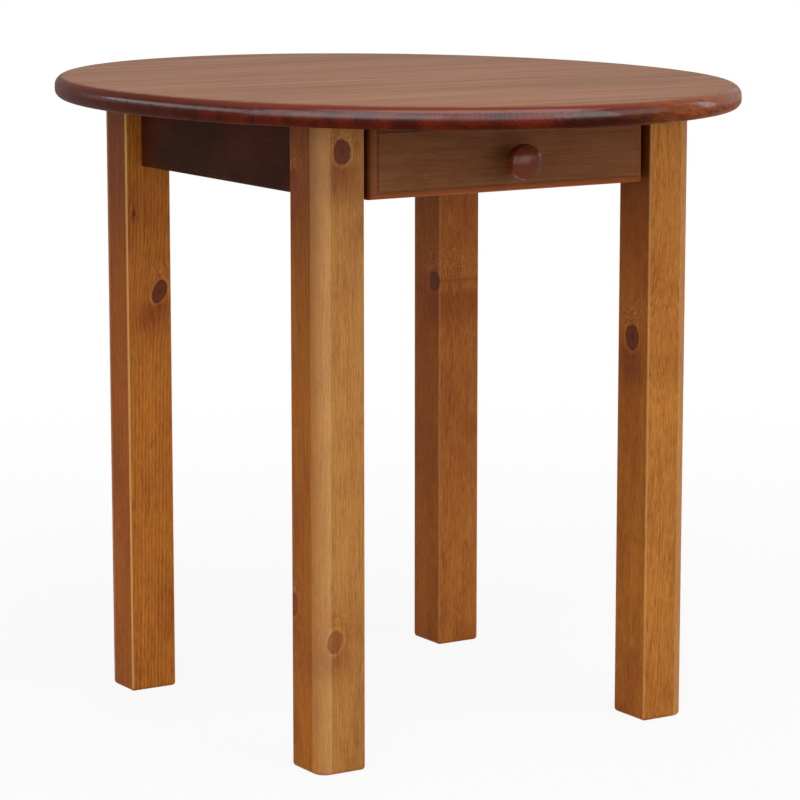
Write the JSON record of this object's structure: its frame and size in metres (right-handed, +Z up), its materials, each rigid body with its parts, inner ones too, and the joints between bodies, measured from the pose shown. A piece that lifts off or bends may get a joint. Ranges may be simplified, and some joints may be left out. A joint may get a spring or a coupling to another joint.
{
  "type": "tavern table",
  "caption": "Free-standing wooden table with an oval top, square legs with a rounded outer corner, an apron frame and a small drawer with a turned knob.",
  "frame": {"origin": "on the floor under the middle of the top", "axes": "+Z up, the drawer faces and pulls out along -Y, +X is to the right of someone who faces the drawer; the oval top is longest along Y"},
  "size_m": [0.7499, 0.9199, 0.75],
  "materials": {
    "top_pine": "brown stain, satin varnish",
    "leg_pine": "honey pine, satin varnish",
    "apron_walnut": "dark walnut stain, satin",
    "drawer_front_walnut": "walnut stain, satin varnish",
    "knob_stain": "red-brown stain, satin varnish",
    "bare_pine": "sanded, unfinished",
    "bottom_plywood": "thin plywood, unfinished",
    "beech": "plain",
    "zinc_steel": "zinc plated"
  },
  "bodies": {
    "frame": {"table_top": "top_pine", "leg_front_left": "leg_pine", "leg_front_right": "leg_pine", "leg_rear_left": "leg_pine", "leg_rear_right": "leg_pine", "front_apron": "apron_walnut", "rear_apron": "apron_walnut", "left_apron": "apron_walnut", "right_apron": "apron_walnut", "corner_block_front_left": "bare_pine", "corner_block_front_right": "bare_pine", "corner_block_rear_left": "bare_pine", "corner_block_rear_right": "bare_pine", "drawer_runner_left": "bare_pine", "drawer_runner_right": "bare_pine", "drawer_kicker_left": "bare_pine", "drawer_kicker_right": "bare_pine", "drawer_stop": "bare_pine", "apron_dowels": "beech", "runner_dowels": "beech", "leg_hanger_bolts": "zinc_steel", "leg_bolt_washers": "zinc_steel", "leg_bolt_nuts": "zinc_steel", "corner_block_screws": "zinc_steel", "top_screws": "zinc_steel", "kicker_screws": "zinc_steel", "drawer_stop_screws": "zinc_steel"},
    "drawer": {"drawer_front": "drawer_front_walnut", "drawer_knob": "knob_stain", "knob_screw": "zinc_steel", "drawer_front_screws": "zinc_steel", "drawer_box_front": "bare_pine", "drawer_box_back": "bare_pine", "drawer_side_left": "bare_pine", "drawer_side_right": "bare_pine", "drawer_bottom": "bottom_plywood"}
  },
  "joints": [
    {"name": "drawer_slide", "type": "slide", "parent": "frame", "child": "drawer", "axis": [0, -1, 0], "range_m": [0, 0.278]}
  ]
}
